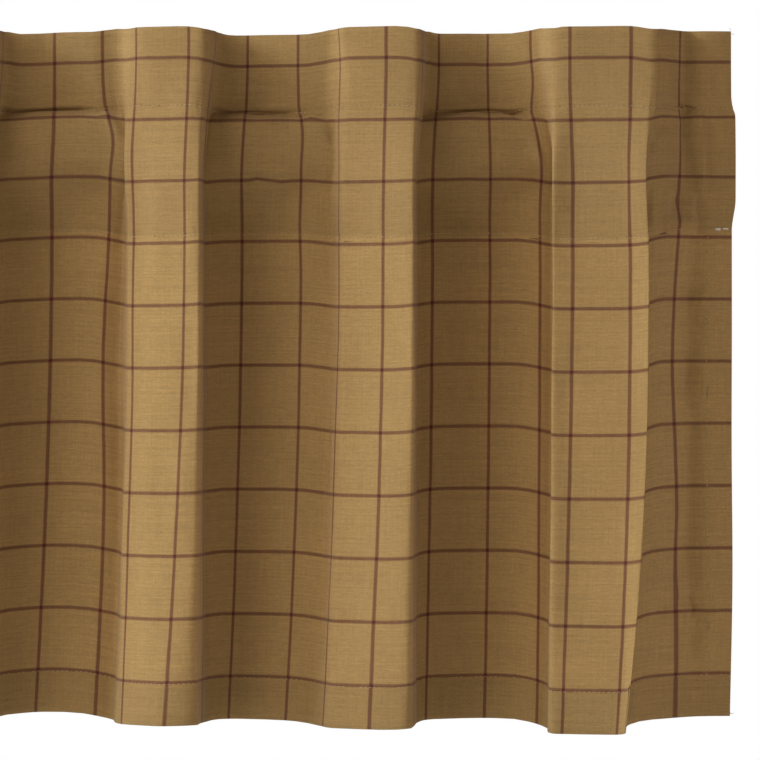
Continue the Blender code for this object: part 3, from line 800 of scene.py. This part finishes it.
# Ends of thread left standing at the corners: the edge, millimetres down, the length in millimetres,
# the way it starts (degrees up from straight outwards) and how far it curls in all (degrees).
LooseEnd = namedtuple("LooseEnd", ["edge", "down", "length", "way", "curl"])
LOOSE_ENDS = [
    LooseEnd(CLOTH_RIGHT, 0.6, 3.0, 70, 80), LooseEnd(CLOTH_RIGHT, 1.4, 2.2, 20, -60),
    LooseEnd(CLOTH_RIGHT, 404.6, 2.6, -30, 70), LooseEnd(CLOTH_RIGHT, 403.4, 1.8, -75, 40),
    LooseEnd(CLOTH_LEFT, 0.9, 2.4, 60, 50), LooseEnd(CLOTH_LEFT, 404.2, 2.0, -50, -50),
]
BEAD = 0.3 * MM               # step between the short lengths that make up an end
END_RADIUS = THREAD * 0.45    # half the thickness of an end
loose_bm = bmesh.new()
for end in LOOSE_ENDS:
    start, ahead, _ = facing(hang, np.array([end.edge]), np.array([end.down * MM]))
    outwards = Vector(ahead[0]) * (1 if end.edge > 0 else -1)
    place, count = Vector(start[0]), round(end.length * MM / BEAD)
    for bead in range(count):
        angle = math.radians(end.way + end.curl * bead / count)
        place = place + (outwards * math.cos(angle) + Vector((0, 0, math.sin(angle)))) * BEAD
        bmesh.ops.create_icosphere(loose_bm, subdivisions=1, radius=END_RADIUS,
                                   matrix=Matrix.Translation(place))
sewing_piece("loose_ends", loose_bm, white_thread)

# ---------------------------------------------------------------------------------------------------
# The studio
#
# A pale floor below the valance, which hangs in the open in a white room. Two soft lamps stand at the
# left, a little above it, and two weaker ones in front and at the right.

FLOOR_LEVEL = -0.70
FLOOR_PLACE = Matrix.Translation((0, -0.55, FLOOR_LEVEL))
FLOOR_SIZE = Matrix.Diagonal((7, 4.7, 1, 1))
floor_bm = bmesh.new()
bmesh.ops.create_grid(floor_bm, x_segments=1, y_segments=1, size=0.5)
bmesh.ops.transform(floor_bm, verts=floor_bm.verts, matrix=FLOOR_PLACE @ FLOOR_SIZE)
floor_mesh = bpy.data.meshes.new("floor")
floor_bm.to_mesh(floor_mesh)
floor_bm.free()
floor = bpy.data.objects.new("floor", floor_mesh)
bpy.context.scene.collection.objects.link(floor)
pale = bpy.data.materials.new("pale_floor")
pale.use_nodes = True
matt = pale.node_tree.nodes["Principled BSDF"]
matt.inputs["Base Color"].default_value = (0.8, 0.8, 0.79, 1)
matt.inputs["Roughness"].default_value = 0.8
floor_mesh.materials.append(pale)

# Each lamp's way from the point they are all aimed at, round from the front and up, in degrees, its
# distance and size in metres, its power in watts and its colour.
Lamp = namedtuple("Lamp", ["name", "azimuth", "height", "distance", "size", "power", "colour"])
LAMPS = [
    Lamp("key", -80, 24, 3.0, 1.3, 57.0, (0.90, 0.99, 1.0)),
    Lamp("broad", -55, 34, 3.0, 2.4, 42.0, (1.0, 0.89, 0.76)),
    Lamp("front", 10, 10, 3.0, 1.6, 8.0, (1.0, 0.84, 0.72)),
    Lamp("right", 79, 8, 3.0, 1.4, 18.0, (1.0, 0.84, 0.72)),
]
AIMED_AT = Vector((0.37, 0.0, -0.20))
for lamp in LAMPS:
    data = bpy.data.lights.new(lamp.name, "AREA")
    data.shape = "DISK"
    data.size = lamp.size
    data.energy = lamp.power
    data.color = lamp.colour
    lamp_object = bpy.data.objects.new(lamp.name, data)
    turn, tilt = math.radians(lamp.azimuth), math.radians(lamp.height)
    away = Vector((math.sin(turn) * math.cos(tilt), -math.cos(turn) * math.cos(tilt), math.sin(tilt)))
    lamp_object.location = AIMED_AT + away * lamp.distance
    lamp_object.rotation_euler = away.to_track_quat("Z", "Y").to_euler()
    bpy.context.scene.collection.objects.link(lamp_object)

ROOM_LIGHT = 0.02             # how much of the white room's light falls on the cloth
room = bpy.data.worlds.new("white_room")
room.use_nodes = True
bpy.context.scene.world = room
sky = room.node_tree.nodes["Background"]
sky.inputs["Color"].default_value = (1, 1, 1, 1)
seen = Wired(room.node_tree).node("ShaderNodeLightPath", {}, {})
strength = ROOM_LIGHT + seen * (1.0 - ROOM_LIGHT)
room.node_tree.links.new(strength.output, sky.inputs["Strength"])
bpy.context.scene.view_settings.view_transform = "Standard"

SEEN_WIDTH = 760 * 0.584 * MM   # width of the view where the valance hangs
VIEW_IN = 351 * 0.584 * MM      # how far left of its right-hand end the view's middle is
VIEW_LEVEL = -0.2056            # height of the view's middle, from its top edge
CAMERA_DISTANCE = 2.65
NEAREST = 12 * MM               # how far in front of the rod's line the cloth hangs on the whole
SENSOR = 36                     # width of the sensor, in millimetres
camera_data = bpy.data.cameras.new("camera")
camera_data.sensor_width = SENSOR
camera_data.lens = SENSOR * CAMERA_DISTANCE / SEEN_WIDTH
camera = bpy.data.objects.new("camera", camera_data)
camera.location = (MIDDLE - VIEW_IN, -CAMERA_DISTANCE - NEAREST, VIEW_LEVEL)
camera.rotation_euler = (math.radians(90), 0, 0)
bpy.context.scene.collection.objects.link(camera)
bpy.context.scene.camera = camera
